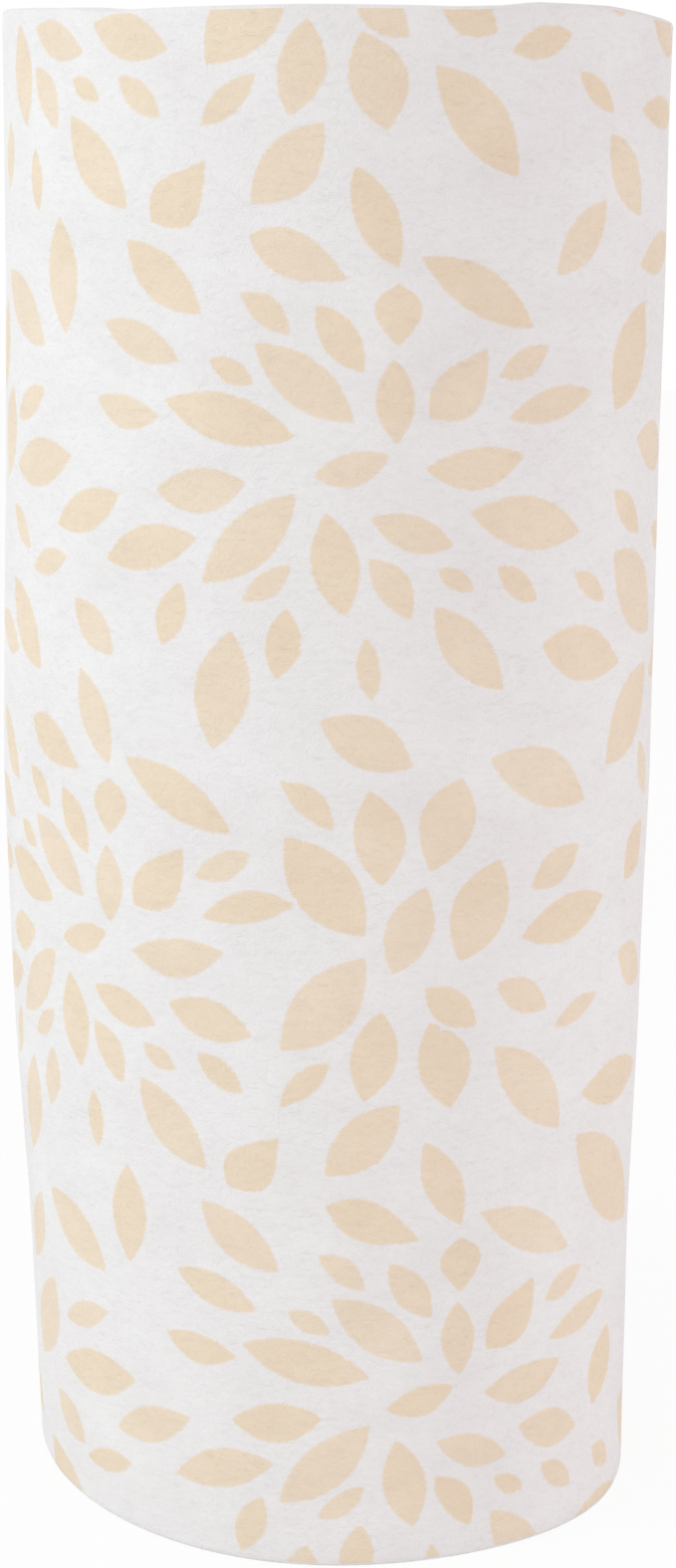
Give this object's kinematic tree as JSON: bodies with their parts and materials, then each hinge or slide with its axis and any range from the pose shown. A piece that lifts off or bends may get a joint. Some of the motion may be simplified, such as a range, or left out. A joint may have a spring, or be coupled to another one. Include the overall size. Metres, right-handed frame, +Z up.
{
  "type": "reusable bamboo towel roll",
  "caption": "Upright roll of soft non-woven bamboo kitchen towels wound on a cardboard core, printed with scattered pale leaf rosettes.",
  "frame": {"origin": "on the roll's axis, at the end it stands on", "axes": "+Z up the roll's axis; the front of the roll faces -Y, and +X is to the right seen from the front"},
  "size_m": [0.1235, 0.1227, 0.28],
  "materials": {
    "towel_cloth": "soft white non-woven cloth with a beige leaf print",
    "core_board": "matt grey-brown paperboard"
  },
  "bodies": {
    "root": {"towel_winding": "towel_cloth", "cardboard_core": "core_board"}
  },
  "joints": []
}
